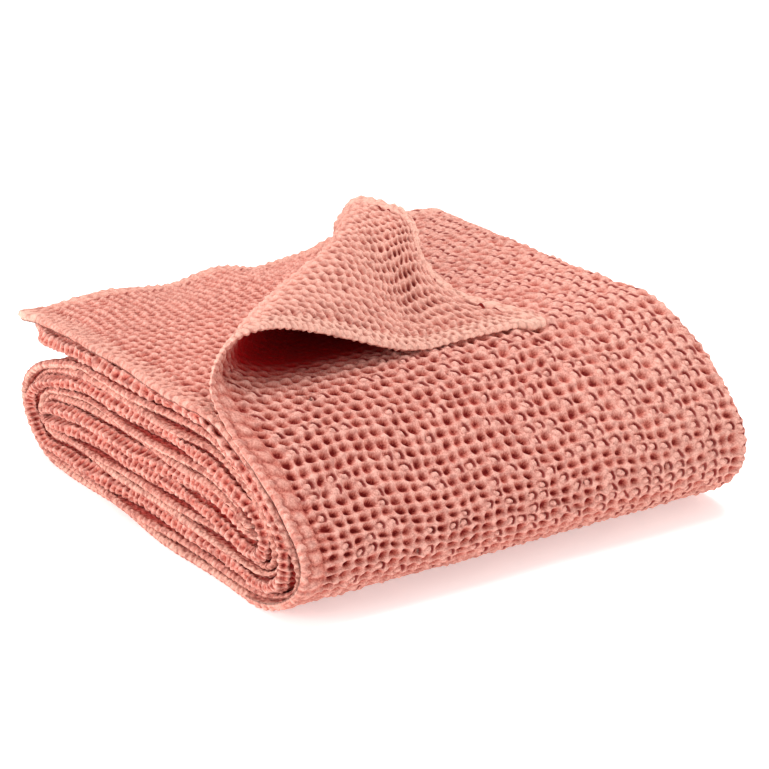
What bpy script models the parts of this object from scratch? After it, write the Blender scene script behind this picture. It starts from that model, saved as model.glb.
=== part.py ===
"""Waffle weave cotton blanket, folded in four across its width, rolled flat, with one corner turned back.

The blanket is one woven panel with its own selvedges and hems, so it is one solid. The script makes the
panel as a flat grid, then moves each point to where folding, rolling, settling and the turned corner
leave it. Metres, +Z up. X runs along the roll, -Y is its front bend and the floor is at Z = 0.
"""

import bisect
import math
from collections import namedtuple

import bmesh
import bpy
from mathutils import Vector

# The folded blanket
ROLL_LENGTH = 0.450  # a quarter of the cut width
LAYER_HEIGHT = 0.0318  # four plies, one layer of the roll
PLY_PITCH = LAYER_HEIGHT / 4
CLOTH = 0.0035  # thickness of the sheet, its waffle relief left out
FRONT_BEND_Y = -0.1615  # centre of the front bends
BACK_BEND_Y = 0.1794  # centre of the back bends
OUTER_HEM_Y = 0.225  # hem on top of the roll, at the back
INNER_HEM_Y = -0.146  # hem in the middle of the roll

# Heights of the layers' middles, in layers above the floor, along the roll from the outer hem inwards
LAYER_LEVELS = (4.5, 0.5, 3.5, 1.5, 2.5)

# Segments of the grid: a run for each layer, then the bend that follows it
RUN_STEPS = (16, 4, 4, 3, 3)
BEND_STEPS = (11, 8, 8, 5)
INNER_STEPS = 5  # along each inner ply

LEFT = -ROLL_LENGTH / 2
RIGHT_FOLD_X = ROLL_LENGTH / 2 - 1.5 * PLY_PITCH  # axis of the two folds at the right end
LEFT_FOLD_X = LEFT + 0.5 * PLY_PITCH  # axis of the fold at the left end
FLOOR_SHIFT = (CLOTH - PLY_PITCH) / 2  # brings the lowest ply down onto the floor
BASE_Z = CLOTH / 2

# The weight of the cloth flattens both bends: share of the height lost, and where it starts and ends
FRONT_SINK = {"share": 0.40, "share_right": 0.34, "start": -0.090, "end": -0.245}
BACK_SINK = {"share": 0.30, "start": 0.105, "end": 0.245}
LEFT_SINK = {"share": 0.05, "start": 0.060, "end": -0.225}
RIGHT_RISE = {"height": 0.006, "start": -0.080, "end": 0.200}

# Turned corner: its crest runs at 45 degrees through Y = X + CREST_OFFSET
CREST_OFFSET = 0.107
LOOP_LEFT = 0.062  # height of the loop at the left end of the crest
LOOP_BACK = 0.034  # and at its back end
FLAP_REST = PLY_PITCH  # height of the flap over the ply that it lies on
FLAP_EASE = 1.07  # the outer ply was laid a little past the others, which the loop takes up
# Across the crest: distance from it and height, as shares of the loop's height, and whether on the flap
TurnRow = namedtuple("TurnRow", "across up flap")
TURN = (
    TurnRow(-0.80, 0.00, 0.0),
    TurnRow(-0.40, 0.05, 0.0),
    TurnRow(-0.08, 0.26, 0.1),
    TurnRow(0.00, 0.54, 0.4),
    TurnRow(-0.10, 0.84, 0.7),
    TurnRow(-0.36, 1.00, 1.0),
    TurnRow(-0.72, 0.94, 1.0),
    TurnRow(-1.07, 0.76, 1.0),
    TurnRow(-1.50, 0.47, 1.0),
    TurnRow(-2.00, 0.14, 1.0),
    TurnRow(-2.45, 0.00, 1.0),
)
TURN_STEPS = 8  # points worked out between two rows
TURN_ENDS_X = 0.135  # the outer ply has more points up to here

# How the hem on top hangs over the back of the roll: place along the roll and height against the run
HemRow = namedtuple("HemRow", "x up")
HEM = (
    HemRow(-0.235, -0.004),
    HemRow(-0.150, -0.004),
    HemRow(-0.080, -0.012),
    HemRow(-0.034, -0.005),
    HemRow(0.022, -0.016),
    HemRow(0.061, -0.013),
    HemRow(0.112, -0.002),
    HemRow(0.170, 0.000),
    HemRow(0.235, -0.002),
)
HEM_HANG_Y = 0.120  # the hem starts to hang here
WAVE = 0.0026  # depth of the soft waves over the whole roll

COLOUR = (0.73, 0.25, 0.19, 1.0)  # coral pink, linear
ROUGHNESS = 0.92

Station = namedtuple("Station", "y z out_y out_z along layer")


def smooth(value, start, end):
    """0 before start, 1 past end, easing between them; end may be the lower one."""
    share = min(1.0, max(0.0, (value - start) / (end - start)))
    return share * share * (3 - 2 * share)


def spline(before, first, second, after, share):
    """Catmull-Rom value between first and second."""
    bend = 2 * before - 5 * first + 4 * second - after
    twist = 3 * first - before - 3 * second + after
    return first + 0.5 * share * (second - before + share * (bend + share * twist))


def clear_scene():
    for old in list(bpy.data.objects):
        bpy.data.objects.remove(old, do_unlink=True)


def spread(start, end, steps):
    """Even values from start on, one for each step, the end left out."""
    return [start + (end - start) * step / steps for step in range(steps)]


def ply_section():
    """The four plies as (x, offset) pairs from one free selvedge to the other, offset out of the roll."""
    outer = 1.5 * PLY_PITCH
    inner = 0.5 * PLY_PITCH
    points = [(x, outer) for x in spread(LEFT, TURN_ENDS_X, 16)]
    points += [(x, outer) for x in spread(TURN_ENDS_X, RIGHT_FOLD_X, 2)]
    for angle in spread(90, -90, 6):
        turn = math.radians(angle)
        points.append((RIGHT_FOLD_X + outer * math.cos(turn), outer * math.sin(turn)))
    points += [(x, -outer) for x in spread(RIGHT_FOLD_X, LEFT_FOLD_X, INNER_STEPS)]
    for angle in spread(-90, 90, 4):
        turn = math.radians(angle)
        points.append((LEFT_FOLD_X - inner * math.cos(turn), inner * math.sin(turn) - PLY_PITCH))
    points += [(x, -inner) for x in spread(LEFT_FOLD_X, RIGHT_FOLD_X, INNER_STEPS)]
    for angle in spread(-90, 90, 4):
        turn = math.radians(angle)
        points.append((RIGHT_FOLD_X + inner * math.cos(turn), inner * math.sin(turn)))
    points += [(x, inner) for x in spread(RIGHT_FOLD_X, LEFT, INNER_STEPS)]
    points.append((LEFT, inner))
    return points


def roll_path():
    """Stations along the middle of the layers, from the outer hem to the inner one."""
    path = []
    along = 0.0
    start_y = OUTER_HEM_Y
    for layer, level in enumerate(LAYER_LEVELS):
        goes_forward = layer % 2 == 0
        last = layer == len(LAYER_LEVELS) - 1
        end_y = FRONT_BEND_Y if goes_forward else BACK_BEND_Y
        if last:
            end_y = INNER_HEM_Y
        out_z = 1.0 if goes_forward else -1.0
        height = level * LAYER_HEIGHT
        for y in spread(start_y, end_y, RUN_STEPS[layer]):
            path.append(Station(y, height, 0.0, out_z, along + abs(y - start_y), layer))
        along += abs(end_y - start_y)
        if last:
            path.append(Station(end_y, height, 0.0, out_z, along, layer))
            break
        next_height = LAYER_LEVELS[layer + 1] * LAYER_HEIGHT
        middle = (height + next_height) / 2
        radius = abs(height - next_height) / 2
        sweep = (90, 270) if goes_forward else (-90, 90)
        for angle in spread(*sweep, BEND_STEPS[layer]):
            turn = math.radians(angle)
            out = (math.cos(turn), math.sin(turn))
            done = math.radians(angle - sweep[0]) * radius
            path.append(
                Station(end_y + radius * out[0], middle + radius * out[1], *out, along + done, layer)
            )
        along += math.pi * radius
        start_y = end_y
    return path


def turn_table():
    """The turn's curve as closely spaced rows, and the length along it up to each."""
    rows = []
    for index in range(len(TURN) - 1):
        before, first, second = TURN[max(index - 1, 0)], TURN[index], TURN[index + 1]
        after = TURN[min(index + 2, len(TURN) - 1)]
        for step in range(TURN_STEPS):
            share = step / TURN_STEPS
            rows.append(TurnRow(*(spline(*ends, share) for ends in zip(before, first, second, after))))
    rows.append(TURN[-1])
    lengths = [0.0]
    for one, two in zip(rows, rows[1:]):
        lengths.append(lengths[-1] + math.hypot(two.across - one.across, two.up - one.up))
    return rows, lengths


def turned_corner(x, y, table):
    """How far folding the corner back moves a point of the outer ply, before the roll settles."""
    rows, lengths = table
    across = (y - x - CREST_OFFSET) / math.sqrt(2)
    crest_share = smooth(x + y, LEFT + (LEFT + CREST_OFFSET), OUTER_HEM_Y + (OUTER_HEM_Y - CREST_OFFSET))
    loop = LOOP_LEFT + (LOOP_BACK - LOOP_LEFT) * crest_share
    travelled = FLAP_EASE * (across - TURN[0].across * loop) / loop
    if travelled <= 0:
        return Vector((0, 0, 0))
    if travelled >= lengths[-1]:
        new_across = TURN[-1].across - (travelled - lengths[-1])
        up, flap = 0.0, 1.0
    else:
        index = bisect.bisect_right(lengths, travelled)
        share = (travelled - lengths[index - 1]) / (lengths[index] - lengths[index - 1])
        one, two = rows[index - 1], rows[index]
        new_across, up, flap = (a + (b - a) * share for a, b in zip(one, two))
    moved = (new_across * loop - across) / math.sqrt(2)
    return Vector((-moved, moved, up * (loop - FLAP_REST) + flap * FLAP_REST))


def hem_hang(x):
    places = [row.x for row in HEM]
    index = min(max(bisect.bisect_right(places, x), 1), len(places) - 1)
    first, second = HEM[index - 1], HEM[index]
    return first.up + (second.up - first.up) * smooth(x, first.x, second.x)


def settled(point, on_top):
    """Lets the roll sink under its own weight, unevenly. On_top is 1 on the top layer, which hangs free."""
    x, y, z = point
    over = z - BASE_Z
    height = over / (len(LAYER_LEVELS) * LAYER_HEIGHT)
    right = smooth(x, RIGHT_RISE["start"], RIGHT_RISE["end"])
    front = FRONT_SINK["share"] + (FRONT_SINK["share_right"] - FRONT_SINK["share"]) * right
    over *= 1 - front * smooth(y, FRONT_SINK["start"], FRONT_SINK["end"])
    over *= 1 - LEFT_SINK["share"] * smooth(x, LEFT_SINK["start"], LEFT_SINK["end"])
    over *= 1 - (1 - on_top) * BACK_SINK["share"] * smooth(y, BACK_SINK["start"], BACK_SINK["end"])
    over += height * RIGHT_RISE["height"] * right
    over += on_top * hem_hang(x) * smooth(y, HEM_HANG_Y, OUTER_HEM_Y)
    over += height * WAVE * math.sin(14.0 * x + 1.1) * math.sin(11.0 * y + 0.4)
    y += height * WAVE * (math.sin(17.0 * x + 0.6) + 0.6 * math.sin(41.0 * x))
    return Vector((x, y, BASE_Z + over))


def uneven_edges(x, offset, station):
    """The left edges wander from layer to layer, and the right folds a little."""
    wander = 0.0026 * math.sin(13.0 * station.along + 150.0 * offset)
    wander += 0.0014 * math.sin(37.0 * station.along + 260.0 * offset)
    return wander * (smooth(x, 0.0, LEFT) + 0.5 * smooth(x, 0.1, RIGHT_FOLD_X))


def folded(x, offset, station, table):
    """Where folding and rolling leave the cloth."""
    top = station.layer == 0
    on_run = station.out_y == 0.0
    y = station.y + offset * station.out_y
    z = station.z + offset * station.out_z + FLOOR_SHIFT
    point = Vector((x, y, z))
    outer_ply = offset > 1.49 * PLY_PITCH
    if top and outer_ply:
        flat_y = OUTER_HEM_Y - station.along
        point += turned_corner(x, flat_y, table)
    if top and on_run and abs(offset - 0.5 * PLY_PITCH) < 1e-6:
        corner = smooth(x, LEFT + 0.09, LEFT) * smooth(y, OUTER_HEM_Y - 0.09, OUTER_HEM_Y)
        point += Vector((-0.010, 0.008, 0.0)) * corner
    point.x += uneven_edges(point.x, offset, station)
    return settled(point, 1.0 if top and on_run else 0.0)


def blanket_sheet():
    """The panel as a flat grid, each point then moved to its place in the folded blanket."""
    section = ply_section()
    path = roll_path()
    table = turn_table()
    across_steps = len(section) - 1
    along_steps = len(path) - 1
    mesh = bmesh.new()
    bmesh.ops.create_grid(mesh, x_segments=across_steps, y_segments=along_steps, size=1.0)
    for vert in mesh.verts:
        across = round((vert.co.x + 1) / 2 * across_steps)
        along = round((vert.co.y + 1) / 2 * along_steps)
        x, offset = section[across]
        vert.co = folded(x, offset, path[along], table)
    bmesh.ops.recalc_face_normals(mesh, faces=mesh.faces)
    bmesh.ops.triangulate(mesh, faces=mesh.faces, quad_method="LONG_EDGE")
    return mesh


def cotton():
    material = bpy.data.materials.new("waffle_cotton")
    material.use_nodes = True
    shader = material.node_tree.nodes["Principled BSDF"]
    shader.inputs["Base Color"].default_value = COLOUR
    shader.inputs["Roughness"].default_value = ROUGHNESS
    shader.inputs["Metallic"].default_value = 0.0
    return material


def main():
    clear_scene()
    collection = bpy.data.collections.new("waffle_blanket")
    bpy.context.scene.collection.children.link(collection)
    sheet = blanket_sheet()
    mesh = bpy.data.meshes.new("blanket")
    sheet.to_mesh(mesh)
    sheet.free()
    blanket = bpy.data.objects.new("blanket", mesh)
    collection.objects.link(blanket)
    mesh.materials.append(cotton())
    thicken = blanket.modifiers.new("Cloth thickness", "SOLIDIFY")
    thicken.thickness = CLOTH
    thicken.offset = 0.0


main()
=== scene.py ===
import math
import bmesh
import bpy
import numpy as np
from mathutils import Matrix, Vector


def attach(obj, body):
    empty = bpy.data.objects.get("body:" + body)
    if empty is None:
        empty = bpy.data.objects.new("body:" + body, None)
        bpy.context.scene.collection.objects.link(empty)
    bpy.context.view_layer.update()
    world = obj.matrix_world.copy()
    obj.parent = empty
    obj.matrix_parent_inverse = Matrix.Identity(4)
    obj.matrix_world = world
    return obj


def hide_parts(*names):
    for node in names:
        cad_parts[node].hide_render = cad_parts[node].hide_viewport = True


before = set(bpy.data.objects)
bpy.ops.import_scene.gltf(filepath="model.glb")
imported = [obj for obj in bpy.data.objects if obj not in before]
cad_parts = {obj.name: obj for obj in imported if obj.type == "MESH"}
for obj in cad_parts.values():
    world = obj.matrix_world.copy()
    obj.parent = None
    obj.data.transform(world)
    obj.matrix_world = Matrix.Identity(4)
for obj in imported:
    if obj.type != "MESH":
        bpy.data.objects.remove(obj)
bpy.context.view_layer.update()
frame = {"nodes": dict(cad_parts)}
print("frame loaded:", ", ".join(frame["nodes"]))


def smooth(value, start, end):
    # 0 before start and 1 past end, easing between them; end may be the lower one
    share = np.clip((value - start) / (end - start), 0.0, 1.0)
    return share * share * (3 - 2 * share)


def ripple(a, b, waves):
    # waves added up: each has its size, its radians to the metre along a and along b, and its start
    return sum(size * np.sin(alongA * a + alongB * b + start) for size, alongA, alongB, start in waves)


# The fold: from a place on the flat panel to its place in the folded blanket, in metres

roll = {
    "length": 0.450,  # along X, a quarter of the cut width
    "layer": 0.0318,  # height of one layer, four plies
    "frontBend": -0.1615,
    "backBend": 0.1794,
    "outerHem": 0.225,
    "innerHem": -0.171,
    "levels": (4.5, 0.5, 3.5, 1.5, 2.5),  # layers' middles from the outer hem inwards
    "innerPinch": 0.30,  # the plies draw together by this share at the inner hem
    "pinchOver": 0.030,
    "foldStopsShort": 0.016,  # the left fold ends this far from the tip on top
    "foldStopsOver": (0.05, 0.06),  # along the panel and across it
    "tipPulled": (-0.002, 0.008),  # how far the second ply's corner is pulled out, along X and Y
    "tipOver": (0.09, 0.09),
    "wander": ((0.0032, 13.0, 210.0, 0.0), (0.0018, 37.0, 260.0, 0.0)),  # the plies' ends don't line up
    "wanderRight": 0.5,  # less at the right end
}
ply = roll["layer"] / 4
leftX = -roll["length"] / 2
rightFoldX = roll["length"] / 2 - 1.5 * ply
leftFoldX = leftX + 0.5 * ply


def sectionTable():
    # across the panel: free selvedge, two nested folds at the right end, one at the left end, free selvedge
    outer, inner = 1.5 * ply, 0.5 * ply
    turn = np.radians(np.linspace(90, -90, 61))
    back = np.radians(np.linspace(-90, 90, 41))
    xs = [leftX, *(rightFoldX + outer * np.cos(turn)), *(leftFoldX - inner * np.cos(back))]
    ds = [outer, *(outer * np.sin(turn)), *(inner * np.sin(back) - ply)]
    xs += [*(rightFoldX + inner * np.cos(back)), leftX]
    ds += [*(inner * np.sin(back)), inner]
    xs, ds = np.array(xs), np.array(ds)
    us = np.concatenate([[0], np.cumsum(np.hypot(np.diff(xs), np.diff(ds)))])
    return us, xs, ds


def pathTable():
    # along the panel: five layers and the four bends between them
    rows = []
    along = 0.0
    startY = roll["outerHem"]
    for layer, level in enumerate(roll["levels"]):
        forward = layer % 2 == 0
        endY = roll["frontBend"] if forward else roll["backBend"]
        last = layer == len(roll["levels"]) - 1
        if last:
            endY = roll["innerHem"]
        outZ = 1.0 if forward else -1.0
        height = level * roll["layer"]
        rows.append((along, startY, height, 0.0, outZ))
        along += abs(endY - startY)
        rows.append((along, endY, height, 0.0, outZ))
        if last:
            break
        nextHeight = roll["levels"][layer + 1] * roll["layer"]
        middle, radius = (height + nextHeight) / 2, abs(height - nextHeight) / 2
        first, second = (90, 270) if forward else (-90, 90)
        for angle in np.radians(np.linspace(first, second, 121))[1:-1]:
            outY, outUp = math.cos(angle), math.sin(angle)
            done = (angle - math.radians(first)) * radius
            rows.append((along + done, endY + radius * outY, middle + radius * outUp, outY, outUp))
        along += math.pi * radius
        startY = endY
    return np.array(rows).T


# Folds and bends by their place on the panel: u across it, v along it
sectionU, sectionX, sectionD = sectionTable()
pathV, pathY, pathZ, pathOutY, pathOutZ = pathTable()
panelWidth, panelLength = sectionU[-1], pathV[-1]
outerFold = (float(sectionU[1]), float(sectionU[61]))
leftFold = (float(sectionU[62]), float(sectionU[102]))
innerFold = (float(sectionU[103]), float(sectionU[143]))
topRun = roll["outerHem"] - roll["frontBend"]
frontBend = (topRun, topRun + 2 * math.pi * roll["layer"])
bottomRun = (frontBend[1], frontBend[1] + roll["backBend"] - roll["frontBend"])
backBend = (bottomRun[1], bottomRun[1] + 1.5 * math.pi * roll["layer"])
middlePly = innerFold[1] + 0.09  # the second ply's sheet starts here

# The turned corner: across the crest and up, in shares of the loop's height, then how far onto the flap
corner = {
    "crest": 0.107,  # it runs at 45 degrees, through Y = X + this
    "loopLeft": 0.062,  # height of the open loop at the crest's left end
    "loopBack": 0.034,
    "ease": 1.07,  # the outer ply was laid a little past the others, which the loop takes up
    "across": (-0.80, -0.40, -0.08, 0.00, -0.10, -0.36, -0.72, -1.07, -1.50, -2.00, -2.45),
    "up": (0.00, 0.05, 0.26, 0.54, 0.84, 1.00, 0.94, 0.76, 0.47, 0.14, 0.00),
    "acrossHem": (-0.80, -0.40, -0.08, 0.00, -0.12, -0.50, -1.15, -1.95, -2.62, -3.08, -3.50),
    "upHem": (0.00, 0.05, 0.26, 0.56, 0.88, 1.07, 1.12, 1.08, 0.80, 0.28, 0.00),
    "flap": (0.0, 0.0, 0.1, 0.4, 0.7, 1.0, 1.0, 1.0, 1.0, 1.0, 1.0),
    "flare": (0.120, 0.005),  # distances from the hem over which it flares up across the fold
    "flareFrom": (0.35, 0.75),  # shares of the crest's length
    "swingLeft": -0.009,  # the crest swings to the left in front
    "swingLeftTo": (0.02, 0.30),
    "swingRight": 0.023,  # and to the right further back
    "swingRightFrom": (0.25, 0.75),
    "swingReturns": 0.80,  # and most of the way back at the hem
    "swingReturnsFrom": (0.78, 1.00),
    "swingFades": (2.8, 4.6),  # over the flap, in loop heights along the cloth
    "frontEdgeSags": (0.010, 0.0025),  # the flap's front edge lies a little further forward and lower
    "sagTo": (0.03, 0.17),  # distances from the left end
    "hemCurvesIn": 0.022,
    "curveOver": 0.15,  # from the hem
    "curveFrom": (0.00, 0.10),
    "curveTo": (0.13, 0.27),
}


def turnTable(across, up):
    # the turn's curve as a smooth line through its rows, and the length along it
    rows = np.array([across, up, corner["flap"]])
    places = np.arange(rows.shape[1])
    fine = np.linspace(0, places[-1], 600)
    index = np.minimum(fine.astype(int), places[-1] - 1)
    share = fine - index
    before, first = rows[:, np.maximum(index - 1, 0)], rows[:, index]
    second, after = rows[:, index + 1], rows[:, np.minimum(index + 2, places[-1])]
    bend = 2 * before - 5 * first + 4 * second - after
    twist = 3 * first - before - 3 * second + after
    line = first + 0.5 * share * (second - before + share * (bend + share * twist))
    length = np.concatenate([[0], np.cumsum(np.hypot(np.diff(line[0]), np.diff(line[1])))])
    return length, line


turn = turnTable(corner["across"], corner["up"])
turnAtHem = turnTable(corner["acrossHem"], corner["upHem"])


def alongTurn(gone, length, line):
    across, up, flap = (np.interp(gone, length, row) for row in line)
    return np.array([across - np.maximum(gone - length[-1], 0), up, flap])


def turnedCorner(x, flatY):
    # how far a point of the outer ply moves from where it would lie flat
    across = (flatY - x - corner["crest"]) / math.sqrt(2)
    fromHem, fromLeft = roll["outerHem"] - flatY, x - leftX
    alongCrest = smooth(x + flatY, 2 * leftX + corner["crest"], 2 * roll["outerHem"] - corner["crest"])
    loop = corner["loopLeft"] + (corner["loopBack"] - corner["loopLeft"]) * alongCrest
    gone = corner["ease"] * (across - corner["across"][0] * loop) / loop
    atHem = smooth(fromHem, *corner["flare"]) * smooth(alongCrest, *corner["flareFrom"])
    newAcross, up, flap = alongTurn(gone, *turn) * (1 - atHem) + alongTurn(gone, *turnAtHem) * atHem
    swing = corner["swingRight"] * smooth(alongCrest, *corner["swingRightFrom"])
    swing = swing * (1 - corner["swingReturns"] * smooth(alongCrest, *corner["swingReturnsFrom"]))
    swing = swing + corner["swingLeft"] * (1 - smooth(alongCrest, *corner["swingLeftTo"]))
    newAcross = newAcross - swing * smooth(gone, 0.0, 1.0) * (1 - smooth(gone, *corner["swingFades"])) / loop
    moved = np.where(gone > 0, (newAcross * loop - across) / math.sqrt(2), 0.0)
    lift = np.where(gone > 0, up * (loop - ply) + flap * ply, 0.0)
    onFlap = np.where(gone > 0, flap ** 2, 0.0)
    sag = onFlap * (1 - smooth(fromLeft, *corner["sagTo"]))
    curve = corner["hemCurvesIn"] * onFlap * smooth(fromHem, corner["curveOver"], 0.0)
    curve = curve * smooth(fromLeft, *corner["curveFrom"]) * (1 - smooth(fromLeft, *corner["curveTo"]))
    forward, lower = corner["frontEdgeSags"]
    return -moved - curve, moved - forward * sag, lift - lower * sag


# How the roll settles under its own weight: shares of the height lost, and where each starts and ends
settling = {
    "front": 0.40,
    "frontRight": 0.34,
    "frontFrom": (-0.090, -0.245),
    "back": 0.265,
    "backFrom": (0.105, 0.245),
    "left": 0.05,
    "leftFrom": (0.060, -0.225),
    "rightRise": 0.006,  # m
    "rightRiseFrom": (-0.080, 0.200),
    "wave": 0.0026,  # soft waves over the whole roll, m
    "heave": ((14.0, 1.1), (11.0, 0.4)),  # radians to the metre and start, along X and along Y
    "sway": ((1.0, 17.0, 0.0, 0.6), (0.6, 41.0, 0.0, 0.0)),
    "hemHangsFrom": 0.120,  # the hem on top hangs over the back unevenly
    "hemX": (-0.235, -0.150, -0.080, -0.034, 0.022, 0.061, 0.112, 0.170, 0.235),
    "hemUp": (-0.008, -0.001, -0.009, -0.005, -0.016, -0.013, -0.002, 0.000, -0.002),
}


def settled(x, y, z, onTop):
    over = z
    height = over / (5 * roll["layer"])
    right = smooth(x, *settling["rightRiseFrom"])
    front = settling["front"] + (settling["frontRight"] - settling["front"]) * right
    over = over * (1 - front * smooth(y, *settling["frontFrom"]))
    over = over * (1 - settling["left"] * smooth(x, *settling["leftFrom"]))
    over = over * (1 - (1 - onTop) * settling["back"] * smooth(y, *settling["backFrom"]))
    over = over + height * settling["rightRise"] * right
    places, ups = np.array(settling["hemX"]), np.array(settling["hemUp"])
    index = np.clip(np.searchsorted(places, x, side="right"), 1, len(places) - 1)
    hang = ups[index - 1] + (ups[index] - ups[index - 1]) * smooth(x, places[index - 1], places[index])
    over = over + onTop * hang * smooth(y, settling["hemHangsFrom"], roll["outerHem"])
    (alongX, startX), (alongY, startY) = settling["heave"]
    over = over + height * settling["wave"] * np.sin(alongX * x + startX) * np.sin(alongY * y + startY)
    return x, y + height * settling["wave"] * ripple(x, y, settling["sway"]), over


def folded(u, v):
    x = np.interp(u, sectionU, sectionX)
    d = np.interp(u, sectionU, sectionD)  # outwards from the middle of the layer
    # past the free edges the cloth goes straight on
    x = x + np.minimum(u, 0) - np.maximum(u - panelWidth, 0)
    y, z = np.interp(v, pathV, pathY), np.interp(v, pathV, pathZ)
    y = y - np.minimum(v, 0) - np.maximum(v - panelLength, 0)
    outY, outZ = np.interp(v, pathV, pathOutY), np.interp(v, pathV, pathOutZ)
    pinched = d * (1 - roll["innerPinch"] * smooth(v, panelLength - roll["pinchOver"], panelLength))
    y, z = y + pinched * outY, z + pinched * outZ - ply / 2
    onTop = np.where(v < 0.75 * topRun, 1.0, 0.0)
    outerPly = (d > 1.49 * ply) & (v < topRun + 0.06)
    dx, dy, dz = turnedCorner(x, roll["outerHem"] - v)
    x, y, z = x + dx * outerPly, y + dy * outerPly, z + dz * outerPly
    # at the tip on top the left fold ends short, and the second ply's corner is pulled out past it
    foldEnd = (u > outerFold[1]) & (d < -0.4 * ply) & (v < 0.06)
    along, across = roll["foldStopsOver"]
    short = foldEnd * (1 - smooth(v, 0.0, along)) * smooth(x, leftX + across, leftX)
    x = x + roll["foldStopsShort"] * short
    secondPly = (u > panelWidth - 0.3) & (v < 0.2)
    across, along = roll["tipOver"]
    pull = secondPly * smooth(x, leftX + across, leftX)
    pull = pull * smooth(y, roll["outerHem"] - along, roll["outerHem"])
    x, y = x + roll["tipPulled"][0] * pull, y + roll["tipPulled"][1] * pull
    wanders = smooth(x, 0.0, leftX) + roll["wanderRight"] * smooth(x, 0.1, rightFoldX)
    x = x + ripple(v, d, roll["wander"]) * wanders
    x, y, z = settled(x, y, z, onTop)
    return np.stack([x, y, z + weave["ridge"]], axis=-1)


def squeeze(u, v):
    # plies inside the roll flatten where the roll is pressed down, and unevenly at the left end, so that
    # gaps open between them; the outer faces stay full
    outside = (u < outerFold[1]) & (v < backBend[1] + 0.05) | (u > middlePly) & (v < topRun)
    place = folded(u, v)
    d = np.interp(u, sectionU, sectionD)
    front = 1 - 0.8 * settling["front"] * smooth(place[:, 1], *settling["frontFrom"])
    behind = 1 - 0.8 * settling["back"] * smooth(place[:, 1], *settling["backFrom"])
    thin = smooth(place[:, 0], leftX + 0.05, leftX) * np.clip(np.sin(14.0 * v + 420.0 * d), 0, 1) ** 2
    return np.where(outside, 1.0, 0.97 * front * behind * (1 - 0.30 * thin))


# The weave: cells with a pit on both faces, half a cell apart, eased wider and askew over the top

weave = {
    "ridge": 0.0033,  # ridge tops over the middle of the cloth, m
    "pit": 0.0054,  # how deep a full pit goes below them
    "hidden": 0.0030,  # the smooth skin inside the roll, over the middle of the cloth
    "shallower": 0.16,  # pits lose this share towards the right end of the roll
    "shallowerFrom": (0.12, 0.40),
    "ridgeWidth": 0.27,  # share of a cell
    "knob": 0.0015,  # crossings stand higher
    "knobWidth": 0.27,
    "station": (0.00, 0.12, 0.25, 0.33, 0.37, 0.40, 0.44, 0.48, 0.53, 0.62, 3.00),  # along the panel, m
    "columns": (61, 63, 72, 83, 87, 88, 87, 86, 86, 88, 88),  # to the metre, on the outer ply
    "rows": (123, 125, 128, 128, 128, 134, 122, 98, 86, 112, 124),
    "skew": (20, 23, 12, 1, -4, -6, -7, -8, -8, -4, 0),  # rows climbed for each metre across
    "columnsWithin": 106,  # to the metre, on the other plies
    "fanFrom": 0.37,
    "outerPlyTo": 0.50,
    "columnWander": ((0.16, 9, 76, 0), (0.07, 203, 203, 0), (0.05, 90, 480, 0)),  # in cells
    "rowWander": ((0.20, 54, 8, 0), (0.09, 153, -153, 0), (0.05, 510, -70, 0)),
    "seed": 41,
}

rng = np.random.default_rng(weave["seed"])
cells = (240, 320)
pitDepth = {face: rng.uniform(0.70, 1.06, cells) for face in (1, -1)}
pitShape = {face: rng.uniform(0.75, 1.50, cells) for face in (1, -1)}
pitShift = {face: rng.uniform(-0.07, 0.07, (2, *cells)) for face in (1, -1)}
knobHeight = {face: rng.uniform(0.2, 1.6, cells) for face in (1, -1)}
beadDraw = {face: rng.random(cells) for face in (1, -1)}
beadSize = {face: rng.uniform(0.78, 0.95, cells) for face in (1, -1)}
fineV = np.linspace(weave["station"][0] - 0.02, weave["station"][-1], 3000)
rowsAt = np.interp(fineV, weave["station"], weave["rows"])
rowCount = np.concatenate([[0], np.cumsum((rowsAt[1:] + rowsAt[:-1]) / 2 * np.diff(fineV))])


def weaveGrid(u, v):
    # columns and rows counted over the panel, with a slow wander
    within = np.minimum(u, weave["outerPlyTo"])
    columns = (within - weave["fanFrom"]) * np.interp(v, weave["station"], weave["columns"])
    columns = columns + np.maximum(u - weave["outerPlyTo"], 0) * weave["columnsWithin"] + 40
    columns = columns + smooth(u, leftFold[0] - 0.008, leftFold[1] + 0.008)  # smaller cells round the fold
    rows = np.interp(v, fineV, rowCount) + within * np.interp(v, weave["station"], weave["skew"]) + 3
    return columns + ripple(u, v, weave["columnWander"]), rows + ripple(u, v, weave["rowWander"])


def pits(u, ia, ib, fa, fb, face):
    # 1 at the bottom of a full pit, 0 on the ridges; each pit is a little off its place
    moveA = pitShift[face][0, ia, ib] * np.sin(math.pi * fa)
    moveB = pitShift[face][1, ia, ib] * np.sin(math.pi * fb)
    pitA, pitB = np.minimum(fa + moveA, 1 - fa - moveA), np.minimum(fb + moveB, 1 - fb - moveB)
    width = weave["ridgeWidth"]
    openA, openB = 1 - np.exp(-(pitA / width) ** 2), 1 - np.exp(-(pitB / width) ** 2)
    depth = openA * openB / (1 - math.exp(-(0.5 / width) ** 2)) ** 2
    depth = pitDepth[face][ia, ib] * np.clip(depth, 0, 1) ** pitShape[face][ia, ib]
    return depth * (1 - weave["shallower"] * smooth(u, *weave["shallowerFrom"]) * (u < weave["outerPlyTo"]))


# Beads: round ends of yarn that fill some pits from one side, with a crease left at the other
bead = {
    "at": (0.43, 0.56),  # place in its cell
    "radius": 0.36,  # in cells
    "share": (0.14, 0.52),  # of the pits, at the left and right ends of the roll
    "from": (0.05, 0.40),
    "fills": 1.3,
    "stands": 0.16,  # over the ridges, as a share of a pit's depth
}


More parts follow.
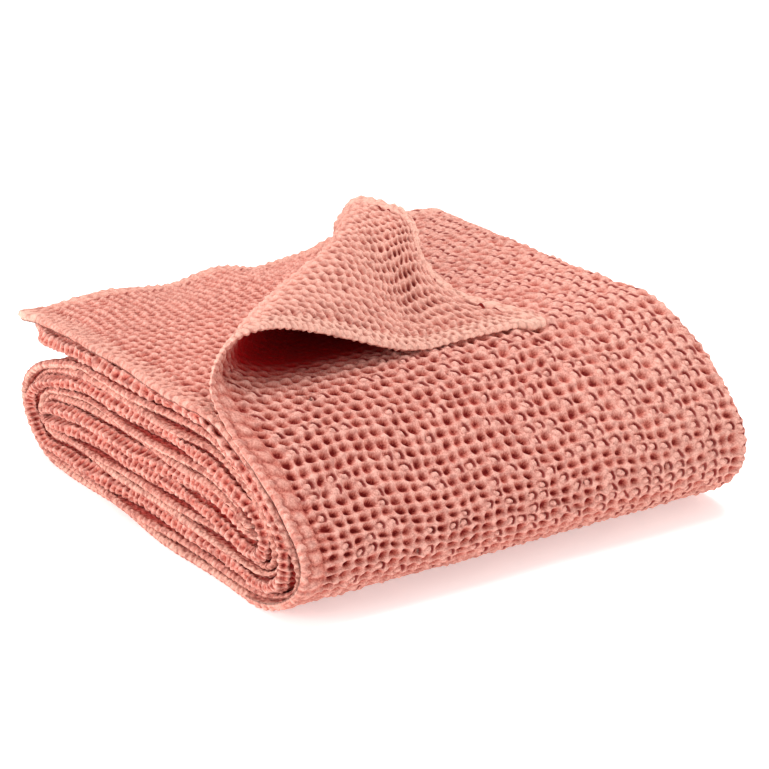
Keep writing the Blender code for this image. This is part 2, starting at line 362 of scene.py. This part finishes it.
def beads(u, ia, ib, fa, fb, face):
    left, right = bead["share"]
    share = (left + (right - left) * smooth(u, *bead["from"])) * (u < weave["outerPlyTo"]) * (face > 0)
    size = (beadDraw[face][ia, ib] < share) * beadSize[face][ia, ib]
    fromA, fromB = fa - bead["at"][0], fb - bead["at"][1]
    radius = np.hypot(fromA, fromB) / (bead["radius"] * np.maximum(size, 0.5))
    return size, (size > 0) * np.sqrt(np.clip(1 - radius ** 2, 0, 1))


# The panel's edges: selvedges along its two long sides, hems sewn along its two short ones
edging = {
    "selvedge": 0.0200,  # closer, flatter weave, m
    "rim": 0.0060,  # its outermost, roped part
    "hem": 0.0170,
    "hemFlatter": 0.65,  # the turned cloth hides this share of the pits
    "stitch": 0.38,  # how deep the stitching sinks, as a share of a pit
    "stitchWidth": 0.0016,
    "beside": 0.45,  # the groove along the selvedge
    "besideAt": 0.0035,
    "round": 0.0026,
    "innerThicker": 0.0009,  # selvedges in the end face stand fuller
    "nub": 0.0055,  # the sewn corners stick out
    "nubThicker": 0.0010,
    "scallop": 0.0006,
}


def selvedgeDepth(edge, v, rows, face):
    # a roped rim, then smooth swellings on the outer face and small flat weave on the other
    rim = edging["rim"] * (1 + 0.22 * np.sin(5.1 * rows) + 0.12 * np.sin(31 * v))
    over = np.clip((edge - rim) / (edging["selvedge"] - rim), 0, 1)
    turns = rows / 1.35 + 0.16 * np.sin(21 * v) + 0.10 * np.sin(97 * v)
    lumps = np.abs(np.sin(math.pi * turns)) ** 0.8 * np.sin(math.pi * over ** 0.85) ** 0.7
    flatRow = 1.02 * rows + 0.5 * np.floor(2 * over)
    small = np.clip(np.sin(2 * math.pi * flatRow), 0, 1) * np.sin(2 * math.pi * over) ** 2
    swell = 0.52 - 0.50 * lumps if face > 0 else 0.08 + 0.80 * small
    rope = 0.05 + 0.26 * np.sin(math.pi * (rows * 1.3 + 0.2 * np.sin(60 * v))) ** 4
    inRim = 1 - smooth(edge, rim - 0.0015, rim + 0.0005)
    return swell * (1 - inRim) + rope * inRim


def waffle(u, v, face):
    # face is 1 on the side that lies outwards on the outer ply, -1 on the other; gives the height, and for
    # the material the painted shading (painted shade in the pits, painted highlight on knobs and beads), how
    # plain the cloth is together with painted light and shade, and the place in the weave with the size of
    # its bead
    columns, rows = weaveGrid(u, v)
    shift = 0.0 if face > 0 else 0.5
    a, b = columns + shift, rows + shift
    ia = np.clip(np.floor(a).astype(int), 0, cells[0] - 2)
    ib = np.clip(np.floor(b).astype(int), 0, cells[1] - 2)
    fa, fb = a - np.floor(a), b - np.floor(b)
    depth = pits(u, ia, ib, fa, fb, face)
    size, dome = beads(u, ia, ib, fa, fb, face)
    depth = depth * (1 - np.minimum(bead["fills"] * dome, 1)) - bead["stands"] * dome
    ja, jb = ia + (fa > 0.5), ib + (fb > 0.5)
    toA, toB = np.minimum(fa, 1 - fa), np.minimum(fb, 1 - fb)
    knob = knobHeight[face][ja, jb] * np.exp(-(toA ** 2 + toB ** 2) / weave["knobWidth"] ** 2)
    # selvedge, hem and sewn corner
    edge, hem = np.minimum(u, panelWidth - u), np.minimum(v, panelLength - v)
    band = 1 - smooth(edge, edging["selvedge"] - 0.002, edging["selvedge"] + 0.001)
    hemBand = 1 - smooth(hem, edging["hem"] - 0.003, edging["hem"])
    nub = (1 - smooth(edge, 0.007, 0.012)) * (1 - smooth(v, 0.024, 0.030))
    depth = depth * (1 - edging["hemFlatter"] * hemBand) * (1 - band)
    depth = depth + selvedgeDepth(edge, v, rows, face) * band
    stitch = np.exp(-((hem - edging["hem"]) / edging["stitchWidth"]) ** 2) * (1 - nub)
    stitch = stitch * (0.4 + 0.6 * np.sin(math.pi * fa) ** 2)
    beside = np.exp(-((edge - edging["selvedge"] - edging["besideAt"]) / 0.0030) ** 2)
    beside = beside * np.sin(math.pi * fb) ** 2
    depth = depth + edging["stitch"] * stitch + edging["beside"] * beside * (1 - depth)
    depth = depth * (1 - 0.9 * nub)
    nearest = np.minimum(edge, hem)
    rounding = np.sqrt(np.clip(1 - (1 - np.clip(nearest / edging["round"], 0, 1)) ** 2, 0.04, 1))
    above = weave["knob"] * (knob - 0.5) * (1 - 0.75 * band) * (1 - nub) + edging["nubThicker"] * nub
    above = above + edging["innerThicker"] * (1 - smooth(edge, 0.010, 0.020)) * (v > topRun)
    height = (weave["ridge"] - weave["pit"] * depth + above) * rounding
    # plainer and paler at the edges, where the weave is flat; painted light makes it paler on the flap and
    # towards the right end, and painted shade keeps the second ply darker than the flap; but not down in the
    # pits
    toRight = smooth(u, 0.20, 0.42) * (u < weave["outerPlyTo"])
    least, most = (0.04 + 0.16 * toRight, 0.16) if face > 0 else (np.where(u > middlePly, 0.15, 0.54), 0.38)
    plainAndPaintedLight = np.maximum(least + most * band, least + 0.42 * hemBand)
    plainAndPaintedLight = np.maximum(plainAndPaintedLight * (1 - 0.9 * np.clip(1.4 * depth, 0, 1)), nub)
    # painted shading: painted shade darker down in the pits, painted highlight lighter on the knobs and the
    # beads' domes
    paintedShading = 1 - (1.0 if face > 0 else 1.12) * depth + 0.36 * (knob - 0.3) + 0.16 * dome
    return height, paintedShading, plainAndPaintedLight, np.stack([a, b, np.minimum(size * (1 - band), 0.95)], axis=-1)


# Where shade is painted into the cloth and where it is knotty, for the material

shade = {
    "coveredTo": 0.335,  # the turned corner lies over the panel up to here
    "behind": (0.006, 0.050),  # from the loop's mouth, and from where the flap comes down
    "fromHem": (0.020, 0.110),
    "fromLine": (0.035, 0.080),  # from where the hem on the flap comes down
    "gap": 0.72,  # painted shade between the plies of the end face
    "knotsInFront": 0.15,
    "knotsOnTop": 0.40,
    "knotsAtEnds": 0.72,
    "knotsOnFold": 0.75,
}


def paintedShadeInside(u, v, face):
    # how much shade is painted in, by how far in a place lies under the turned corner or inside the roll:
    # 0 in the light, 1 deep inside
    line = shade["coveredTo"]
    behind = smooth(np.minimum(u, line - v), *shade["behind"])
    beside = smooth(v, *shade["fromHem"]) * smooth(line - u, *shade["fromLine"])
    x = folded(u, v)[:, 0]
    onOuterPly, onSecond = u < outerFold[1], u > middlePly
    if face > 0:
        shows = onOuterPly & (v < backBend[1] + 0.04)
    else:
        shows = (onOuterPly | onSecond) & (v < topRun)
    edge = np.minimum(u, panelWidth - u)
    fromFold = np.abs(u - (leftFold[0] + leftFold[1]) / 2)
    fromEnd = np.minimum(smooth(edge, 0.002, 0.009), smooth(fromFold, 0.006, 0.014))
    gap = fromEnd * smooth(v, 0.004, 0.016) * (1 - smooth(x, 0.10, 0.15)) * ~shows
    return np.maximum(behind * beside * (face > 0), shade["gap"] * gap)


def knotted(u, v, face):
    # how far the yarns knot into small lumps, with shade painted in their crevices: on the selvedges and
    # round the fold at the left end
    edge = np.minimum(u, panelWidth - u)
    nearEdge = 1 - smooth(edge, edging["selvedge"], edging["selvedge"] + 0.006)
    onFront = (u < 0.1) & (v < frontBend[1]) & (face > 0)
    onTop = (v < topRun) & (face < 0)
    fold = smooth(u, leftFold[0] - 0.030, leftFold[0] - 0.010)
    fold = fold * (1 - smooth(u, leftFold[1] + 0.010, leftFold[1] + 0.030))
    onEdge = np.where(onTop, shade["knotsOnTop"], shade["knotsAtEnds"])
    onEdge = np.where(onFront, shade["knotsInFront"], onEdge) * nearEdge
    return np.maximum(onEdge, shade["knotsOnFold"] * fold)


# The sheets that the one panel is drawn in: where each is on it, which of its faces show and so are fine,
# and whether it lies over the others with the turned corner, or just under that

cell = 0.0116  # their grid, m
strip = 2 * cell
wrapEnd = outerFold[1] + cell
beforeWrap = outerFold[0] - strip
beforeFold, afterFold = leftFold[0] - strip, leftFold[1] + strip
innerEdge = panelWidth - strip
topEnd = backBend[1] + 0.12
pieces = {
    "turnedCorner": {"u": (0.0, 20 * cell), "v": (0.0, topRun), "cuts": 7, "fine": "face", "lies": "over"},
    "topRight": {"u": (20 * cell, wrapEnd), "v": (0.0, topRun), "cuts": 7, "fine": "face", "lies": "over"},
    "frontBend": {"u": (0.0, wrapEnd), "v": frontBend, "cuts": 8, "fine": "face"},
    "underside": {"u": (strip, wrapEnd), "v": (bottomRun[0], backBend[1]), "cuts": 3, "fine": "face"},
    "rollTop": {"u": (strip, wrapEnd), "v": (backBend[1], topEnd), "cuts": 3, "fine": "face"},
    "secondPly": {"u": (middlePly, panelWidth), "v": (0.0, topRun),
                  "cuts": 7, "fine": "back", "lies": "under"},
    "outerSelvedge": {"u": (0.0, strip), "v": (bottomRun[0], panelLength), "cuts": 5, "fine": "both"},
    "innerSelvedge": {"u": (innerEdge, panelWidth), "v": (topRun, panelLength), "cuts": 5, "fine": "both"},
    "leftFolds": {"u": (beforeFold, afterFold), "v": (0.0, panelLength), "cuts": 6, "fine": "face"},
    "rightFolds": {"u": (beforeWrap, wrapEnd), "v": (topEnd, panelLength), "cuts": 4, "fine": "face"},
    "hemPlies": {"u": (wrapEnd, beforeFold), "v": (0.0, 0.09), "cuts": 3, "fine": "face"},
    "hemPliesBelow": {"u": (afterFold, middlePly), "v": (0.0, strip), "cuts": 3, "fine": "both"},
    "innerOuterPly": {"u": (strip, beforeWrap), "v": (topEnd, panelLength)},
    "innerFourthPly": {"u": (wrapEnd, beforeFold), "v": (0.09, panelLength)},
    "innerThirdPly": {"u": (afterFold, middlePly), "v": (strip, panelLength)},
    "innerSecondPly": {"u": (middlePly, innerEdge), "v": (topRun, panelLength)},
}
# the flap's reverse shows up to this u + v, and the second ply from this u - v
turnedTo = 2 * roll["outerHem"] - corner["crest"] + 0.09
coveredFrom = panelWidth + leftX - roll["outerHem"] + corner["crest"] - 0.07


def relief(spec, u, v, face):
    # the share of the weave's relief that a face has: all where it shows, none where it lies inside the roll
    fine, lies = spec.get("fine"), spec.get("lies")
    if fine == "both" or fine == ("face" if face > 0 else "back"):
        return smooth(u - v, coveredFrom, coveredFrom + 0.015) if lies == "under" else np.ones_like(u)
    if lies == "over":
        return 1 - smooth(u + v, turnedTo - 0.050, turnedTo - 0.020)
    return np.zeros_like(u)


def surface(spec, u, v, face):
    # a point of one face of the cloth: the fold's place, and the weave's height along the fold's normal
    edge, hem = np.minimum(u, panelWidth - u), np.minimum(v, panelLength - v)
    _, rows = weaveGrid(u, v)
    scallop = edging["scallop"] * np.cos(2 * math.pi * rows) * (1 - smooth(edge, 0.0, 0.007))
    rounded = np.sqrt(1 - (1 - np.clip(hem / 0.0045, 0, 1)) ** 2)
    nub = edging["nub"] * (1 - smooth(edge, 0.006, 0.016)) * (1 - smooth(hem, 0.013, 0.024)) * rounded
    outwards = np.where(u < panelWidth / 2, -1.0, 1.0)
    placeU = u + outwards * (scallop + nub)
    nudge = 0.0004
    alongU = folded(placeU + nudge, v) - folded(placeU - nudge, v)
    alongV = folded(placeU, v + nudge) - folded(placeU, v - nudge)
    out = np.cross(alongV, alongU)
    out /= np.linalg.norm(out, axis=1)[:, None] + 1e-12
    height, paintedShading, plainAndPaintedLight, weavePlace = waffle(u, v, face)
    share = relief(spec, u, v, face) * (1 - 0.85 * paintedShadeInside(u, v, face))
    height = height * share + (1 - share) * weave["hidden"]
    place = folded(placeU, v) + out * (face * height * squeeze(u, v))[:, None]
    place[:, 2] = np.maximum(place[:, 2], 0.0002)  # flat where it lies on the floor
    return place, paintedShading, plainAndPaintedLight, weavePlace


def flatSheet(spec):
    # the sheet before it is folded: a closed slab, cut finer where it shows
    (u0, u1), (v0, v1) = spec["u"], spec["v"]
    across = max(2, round((u1 - u0) / cell))
    along = max(2, round((v1 - v0) / cell * 1.12))
    bm = bmesh.new()
    bmesh.ops.create_grid(bm, x_segments=across, y_segments=along, size=1.0)
    bmesh.ops.solidify(bm, geom=bm.faces[:], thickness=0.5)
    heights = [vert.co.z for vert in bm.verts]
    low, high = min(heights), max(heights)
    finer = set()
    for face in bm.faces if "fine" in spec else ():
        middle = face.calc_center_median()
        onFace, onBack = middle.z < low + 0.1, middle.z > high - 0.1
        shows = (onFace and spec["fine"] != "back") or (onBack and spec["fine"] != "face")
        u, v = u0 + (middle.x + 1) / 2 * (u1 - u0), v0 + (middle.y + 1) / 2 * (v1 - v0)
        turned = spec.get("lies") == "over" and onBack and u + v < turnedTo
        covered = spec.get("lies") == "under" and u - v < coveredFrom
        if turned or (shows and not covered):
            finer.update(face.edges)
    if finer:
        bmesh.ops.subdivide_edges(bm, edges=list(finer), cuts=spec["cuts"], use_grid_fill=True)
    return bm, (low + high) / 2


def clothPiece(name, spec):
    bm, middle = flatSheet(spec)
    mesh = bpy.data.meshes.new(name)
    bm.to_mesh(mesh)
    bm.free()
    flat = np.empty(len(mesh.vertices) * 3, np.float32)
    mesh.vertices.foreach_get("co", flat)
    flat = flat.reshape(-1, 3).astype(float)
    (u0, u1), (v0, v1) = spec["u"], spec["v"]
    u, v = u0 + (flat[:, 0] + 1) / 2 * (u1 - u0), v0 + (flat[:, 1] + 1) / 2 * (v1 - v0)
    place, normal, weavePlace = np.empty_like(flat), np.empty_like(flat), np.empty_like(flat)
    paintedShading, plainAndPaintedLight, paintedDeepShade, knots = (np.empty(len(u)) for _ in range(4))
    step = 0.0006
    for face, here in ((1, flat[:, 2] < middle), (-1, flat[:, 2] >= middle)):
        pu, pv = u[here], v[here]
        place[here], paintedShading[here], plainAndPaintedLight[here], weavePlace[here] = surface(spec, pu, pv, face)
        paintedDeepShade[here], knots[here] = paintedShadeInside(pu, pv, face), knotted(pu, pv, face)
        alongU = surface(spec, pu + step, pv, face)[0] - surface(spec, pu - step, pv, face)[0]
        alongV = surface(spec, pu, pv + step, face)[0] - surface(spec, pu, pv - step, face)[0]
        normal[here] = face * np.cross(alongV, alongU)
    normal /= np.linalg.norm(normal, axis=1)[:, None] + 1e-12
    mesh.vertices.foreach_set("co", place.astype(np.float32).ravel())
    layers = {"paintedShading": np.clip(paintedShading, 0, 1.3), "plainAndPaintedLight": plainAndPaintedLight, "paintedDeepShade": paintedDeepShade, "knots": knots}
    for layer, values in layers.items():
        mesh.attributes.new(layer, "FLOAT", "POINT").data.foreach_set("value", values.astype(np.float32))
    weaveLayer = mesh.attributes.new("weave", "FLOAT_VECTOR", "POINT")
    weaveLayer.data.foreach_set("vector", weavePlace.astype(np.float32).ravel())
    panel = mesh.uv_layers.new(name="panel")
    vertexOf = np.empty(len(mesh.loops), np.int32)
    mesh.loops.foreach_get("vertex_index", vertexOf)
    panel.data.foreach_set("uv", np.stack([u, v], axis=-1)[vertexOf].astype(np.float32).ravel())
    mesh.polygons.foreach_set("use_smooth", np.ones(len(mesh.polygons), bool))
    mesh.update()
    mesh.normals_split_custom_set_from_vertices(normal)  # the same on both sides of a join, which hides it
    piece = bpy.data.objects.new(name, mesh)
    bpy.context.scene.collection.objects.link(piece)
    return piece


def linear(hexColour):
    values = [int(hexColour[i:i + 2], 16) / 255 for i in (1, 3, 5)]
    return [c / 12.92 if c <= 0.04045 else ((c + 0.055) / 1.055) ** 2.4 for c in values] + [1.0]


def addNode(tree, kind, output, inputs, stops=(), **settings):
    # gives the node's output; inputs are sockets to link or values to set, stops a ramp's places and colours
    node = tree.nodes.new(kind)
    for key, value in settings.items():
        setattr(node, key, value)
    for key, value in inputs.items():
        if isinstance(value, bpy.types.NodeSocket):
            tree.links.new(value, node.inputs[key])
        else:
            node.inputs[key].default_value = value
    for _ in stops[2:]:
        node.color_ramp.elements.new(1.0)
    for index, (place, colour) in enumerate(stops):
        node.color_ramp.elements[index].position = place
        node.color_ramp.elements[index].color = colour
    return node.outputs[output]


# Washed waffle cotton: matt and softly fuzzy yarn, coral on the ridges, with deep red shade painted down in
# the pits and under the turned corner, where light only comes off other cotton
cotton = {
    # pit and slope are painted shade, knob is a painted highlight, ridge is the cloth's own coral
    "knob": "#EDB0A1",
    "ridge": "#DA9486",
    "slope": "#C46859",
    "pit": "#8A201D",
    "places": (0.12, 0.37, 0.66, 0.92),  # painted shading values of pit shade, slope shade, ridge and knob highlight
    "paintedShadingScale": 0.75,
    # the plain colour: flat weave at the edges, and painted light on the flap and towards the right end
    "selvedge": "#EDB7A5",
    # painted shade under the turned corner and between the plies
    "paintedDeepShade": "#A80208",
    # painted shade for the beads' creases, the knots' crevices and the sunk stitch line
    "paintedCreaseShade": "#80201E",
    "paintedCreaseSide": (0.99, -0.12, 0.0),  # the side of each bead where its crease is painted darker, away from the roll's left end
    "yarnMm": 1.3,
    "yarnFrays": (-0.15, 0.13),  # how far single yarns blur the pits' outlines, in painted shading
    "yarnGrain": (0.88, 1.09),
    "yarnFuzz": 0.0007,  # m
    "knotMm": 4.2,
    # how much shade is painted into the knots' crevices
    "paintedKnotShade": (0.32, 0.62),
    "knotHeight": 0.0030,  # m
    "patches": (0.90, 1.08),  # cloudy shade from washing
    "stitchWidth": (0.0012, 0.0004),
    "roughness": 0.92,
}


def washedWaffleCotton():
    material = bpy.data.materials.new("washedWaffleCotton")
    material.use_nodes = True
    tree = material.node_tree
    shader = tree.nodes["Principled BSDF"]
    black, white = (0, 0, 0, 1), (1, 1, 1, 1)
    paintedCreaseShade = linear(cotton["paintedCreaseShade"])
    uv = addNode(tree, "ShaderNodeUVMap", "UV", {}, uv_map="panel")
    paintedShading, plainAndPaintedLight, paintedDeepShade, knots = (addNode(tree, "ShaderNodeAttribute", "Fac", {}, attribute_name=layer)
                                  for layer in ("paintedShading", "plainAndPaintedLight", "paintedDeepShade", "knots"))
    weavePlace = addNode(tree, "ShaderNodeAttribute", "Vector", {}, attribute_name="weave")
    yarn = addNode(tree, "ShaderNodeTexNoise", "Fac",
                   {"Vector": uv, "Scale": 1000 / cotton["yarnMm"], "Detail": 2.0, "Roughness": 0.6})
    # painted shading: the colour goes by the depth in the weave, painted shade in the pits, painted
    # highlight on the knobs
    least, most = cotton["yarnFrays"]
    frayed = addNode(tree, "ShaderNodeMapRange", "Result",
                     {"Value": yarn, 1: 0.30, 2: 0.70, 3: least, 4: most})
    onScale = addNode(tree, "ShaderNodeMath", 0, {0: paintedShading, 1: cotton["paintedShadingScale"], 2: frayed},
                      operation="MULTIPLY_ADD")
    colours = [linear(cotton[part]) for part in ("pit", "slope", "ridge", "knob")]
    base = addNode(tree, "ShaderNodeValToRGB", "Color", {"Fac": onScale},
                   stops=[*zip(cotton["places"], colours)])
    # the plain colour mixed in: flat weave at the edges, and painted light and shade by region
    edge = addNode(tree, "ShaderNodeMix", 2, {0: plainAndPaintedLight, 6: base, 7: linear(cotton["selvedge"])},
                   data_type="RGBA")
    # painted shade in the crease beside each bead: part of a ring round it, on one side only
    inCell = addNode(tree, "ShaderNodeVectorMath", 0, {0: weavePlace}, operation="FRACTION")
    fromBead = addNode(tree, "ShaderNodeVectorMath", 0, {0: inCell, 1: (*bead["at"], 0.0)},
                       operation="SUBTRACT")
    flat = addNode(tree, "ShaderNodeVectorMath", 0, {0: fromBead, 1: (1, 1, 0)}, operation="MULTIPLY")
    away = addNode(tree, "ShaderNodeVectorMath", "Value", {0: flat}, operation="LENGTH")
    ring = addNode(tree, "ShaderNodeValToRGB", "Color", {"Fac": away},
                   stops=[(0.27, black), (0.35, white), (0.47, white), (0.58, black)])
    side = addNode(tree, "ShaderNodeVectorMath", "Value", {0: flat, 1: cotton["paintedCreaseSide"]},
                   operation="DOT_PRODUCT")
    part = addNode(tree, "ShaderNodeMapRange", "Result", {"Value": side, 1: 0.17, 2: 0.32})
    arc = addNode(tree, "ShaderNodeMath", 0, {0: ring, 1: part}, operation="MULTIPLY")
    size = addNode(tree, "ShaderNodeSeparateXYZ", "Z", {0: weavePlace})
    sized = addNode(tree, "ShaderNodeMath", 0, {0: arc, 1: size}, operation="MULTIPLY")
    withPaintedBeadCrease = addNode(tree, "ShaderNodeMix", 2, {0: sized, 6: edge, 7: paintedCreaseShade}, data_type="RGBA")
    # small lumps of yarn, with shade painted into the crevices between them
    lumps = addNode(tree, "ShaderNodeTexVoronoi", "Distance",
                    {"Vector": uv, "Scale": 1000 / cotton["knotMm"]}, voronoi_dimensions="2D")
    crevice = addNode(tree, "ShaderNodeMapRange", "Result", {"Value": lumps, 1: 0.42, 2: 0.78})
    least, most = cotton["paintedKnotShade"]
    amount = addNode(tree, "ShaderNodeMapRange", "Result", {"Value": knots, 3: least, 4: most})
    paintedCreviceShade = addNode(tree, "ShaderNodeMath", 0, {0: crevice, 1: amount}, operation="MULTIPLY")
    withPaintedKnotShade = addNode(tree, "ShaderNodeMix", 2, {0: paintedCreviceShade, 6: withPaintedBeadCrease, 7: paintedCreaseShade}, data_type="RGBA")
    # the hem's stitching, sunk in a thin line of painted shade that comes and goes and stops short of the
    # corners
    along = addNode(tree, "ShaderNodeSeparateXYZ", "Y", {0: uv})
    fromStitch = addNode(tree, "ShaderNodeMath", 0, {0: along, 1: edging["hem"]}, operation="SUBTRACT")
    offStitch = addNode(tree, "ShaderNodeMath", 0, {0: fromStitch}, operation="ABSOLUTE")
    wide, narrow = cotton["stitchWidth"]
    onStitch = addNode(tree, "ShaderNodeMapRange", "Result", {"Value": offStitch, 1: wide, 2: narrow})
    comes = addNode(tree, "ShaderNodeTexNoise", "Fac", {"Vector": uv, "Scale": 70.0})
    shows = addNode(tree, "ShaderNodeMapRange", "Result", {"Value": comes, 1: 0.40, 2: 0.58})
    sewn = addNode(tree, "ShaderNodeMath", 0, {0: onStitch, 1: shows}, operation="MULTIPLY")
    offCorner = addNode(tree, "ShaderNodeMapRange", "Result", {"Value": plainAndPaintedLight, 1: 0.95, 2: 0.75, 4: 0.75})
    stitch = addNode(tree, "ShaderNodeMath", 0, {0: sewn, 1: offCorner}, operation="MULTIPLY")
    withPaintedStitchShade = addNode(tree, "ShaderNodeMix", 2, {0: stitch, 6: withPaintedKnotShade, 7: paintedCreaseShade}, data_type="RGBA")
    # uneven shade: clouds from washing, and the grain of single yarns
    clouds = addNode(tree, "ShaderNodeTexNoise", "Fac", {"Vector": uv, "Scale": 42.0, "Detail": 3.0})
    least, most = cotton["patches"]
    patches = addNode(tree, "ShaderNodeMapRange", "Result", {"Value": clouds, 3: least, 4: most})
    least, most = cotton["yarnGrain"]
    grain = addNode(tree, "ShaderNodeMapRange", "Result",
                    {"Value": yarn, 1: 0.32, 2: 0.68, 3: least, 4: most})
    uneven = addNode(tree, "ShaderNodeMath", 0, {0: patches, 1: grain}, operation="MULTIPLY")
    colour = addNode(tree, "ShaderNodeMix", 2, {0: 1.0, 6: withPaintedStitchShade, 7: uneven}, data_type="RGBA",
                     blend_type="MULTIPLY")
    # painted deep red shade under the turned corner and in the gaps between the plies
    withPaintedDeepShade = addNode(tree, "ShaderNodeMix", 2, {0: paintedDeepShade, 6: colour, 7: linear(cotton["paintedDeepShade"])},
                   data_type="RGBA")
    tree.links.new(withPaintedDeepShade, shader.inputs["Base Color"])
    # fuzz of the yarn, then the lumps
    fuzz = addNode(tree, "ShaderNodeBump", "Normal",
                   {"Height": yarn, "Strength": 0.7, "Distance": cotton["yarnFuzz"]})
    knotHeight = addNode(tree, "ShaderNodeMath", 0, {0: lumps, 1: amount}, operation="MULTIPLY")
    bump = addNode(tree, "ShaderNodeBump", "Normal",
                   {"Height": knotHeight, "Normal": fuzz, "Strength": 0.8, "Distance": cotton["knotHeight"]},
                   invert=True)
    tree.links.new(bump, shader.inputs["Normal"])
    shader.inputs["Roughness"].default_value = cotton["roughness"]
    shader.inputs["Specular IOR Level"].default_value = 0.12
    shader.inputs["Sheen Weight"].default_value = 0.08
    shader.inputs["Sheen Tint"].default_value = linear(cotton["ridge"])
    return material


waffleCotton = washedWaffleCotton()
made = []
for name, spec in pieces.items():
    piece = clothPiece(name, spec)
    piece.data.materials.append(waffleCotton)
    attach(piece, "root")
    made.append(piece)
    print("cloth:", name, len(piece.data.polygons), "faces")
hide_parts("blanket")

# Floor, light and camera

studio = {
    "floor": "#FAF9F8",
    "floorSize": 4.0,  # half its side, m
    "glow": 0.40,  # the sweep is lit from below too, as for a cut-out, so shadows stay faint
    "sky": 0.73,
    "topLight": {"place": (0.75, 0.00, 1.80), "aim": (0.05, 0, 0.1), "size": 1.1, "watts": 24},
    "leftLight": {"place": (-1.8, 0.0, 0.5), "aim": (0, 0, 0.08), "size": 1.0, "watts": 22},
    "turn": 33.23,  # degrees round the blanket from straight in front, to its left end
    "tilt": 22.12,
    "distance": 2.4233,
    "lens": 127.92,  # mm
    "sensor": 36.0,
    "photoWidth": 769,  # pixels
    "aimPixels": (11.322, 94.318),  # how far right of the origin and above it the camera aims
}

bm = bmesh.new()
bmesh.ops.create_grid(bm, x_segments=1, y_segments=1, size=studio["floorSize"])
floorMesh = bpy.data.meshes.new("floor")
bm.to_mesh(floorMesh)
bm.free()
floor = bpy.data.objects.new("floor", floorMesh)
bpy.context.scene.collection.objects.link(floor)
paper = bpy.data.materials.new("paperSweep")  # matt paper
paper.use_nodes = True
paperShader = paper.node_tree.nodes["Principled BSDF"]
paperShader.inputs["Base Color"].default_value = linear(studio["floor"])
paperShader.inputs["Roughness"].default_value = 0.9
paperShader.inputs["Emission Color"].default_value = (1, 1, 1, 1)
paperShader.inputs["Emission Strength"].default_value = studio["glow"]
floorMesh.materials.append(paper)

for name in ("topLight", "leftLight"):
    box = studio[name]
    light = bpy.data.lights.new(name, "AREA")
    light.shape = "DISK"
    light.size = box["size"]
    light.energy = box["watts"]
    lamp = bpy.data.objects.new(name, light)
    lamp.location = box["place"]
    lamp.rotation_euler = (Vector(box["aim"]) - Vector(box["place"])).to_track_quat("-Z", "Y").to_euler()
    bpy.context.scene.collection.objects.link(lamp)
world = bpy.data.worlds.new("studio")
world.use_nodes = True
world.node_tree.nodes["Background"].inputs["Color"].default_value = (1, 1, 1, 1)
world.node_tree.nodes["Background"].inputs["Strength"].default_value = studio["sky"]
bpy.context.scene.world = world
bpy.context.scene.view_settings.view_transform = "Standard"

turnAngle, tiltAngle = math.radians(studio["turn"]), math.radians(studio["tilt"])
level = math.cos(tiltAngle)
back = Vector((-math.sin(turnAngle) * level, -math.cos(turnAngle) * level, math.sin(tiltAngle)))
right = (-back).cross(Vector((0, 0, 1))).normalized()
up = right.cross(-back)
focalPixels = studio["lens"] / studio["sensor"] * studio["photoWidth"]
aimRight, aimUp = (pixels / focalPixels for pixels in studio["aimPixels"])
view = bpy.data.cameras.new("photoView")
view.lens = studio["lens"]
view.sensor_width = studio["sensor"]
camera = bpy.data.objects.new("photoView", view)
camera.location = back * studio["distance"]
camera.rotation_euler = (right * aimRight + up * aimUp - back).to_track_quat("-Z", "Y").to_euler()
bpy.context.scene.collection.objects.link(camera)
bpy.context.scene.camera = camera
print("floor, light and camera set")

triangles = sum(sum(len(face.vertices) - 2 for face in piece.data.polygons) for piece in made)
print("triangles in all:", triangles)
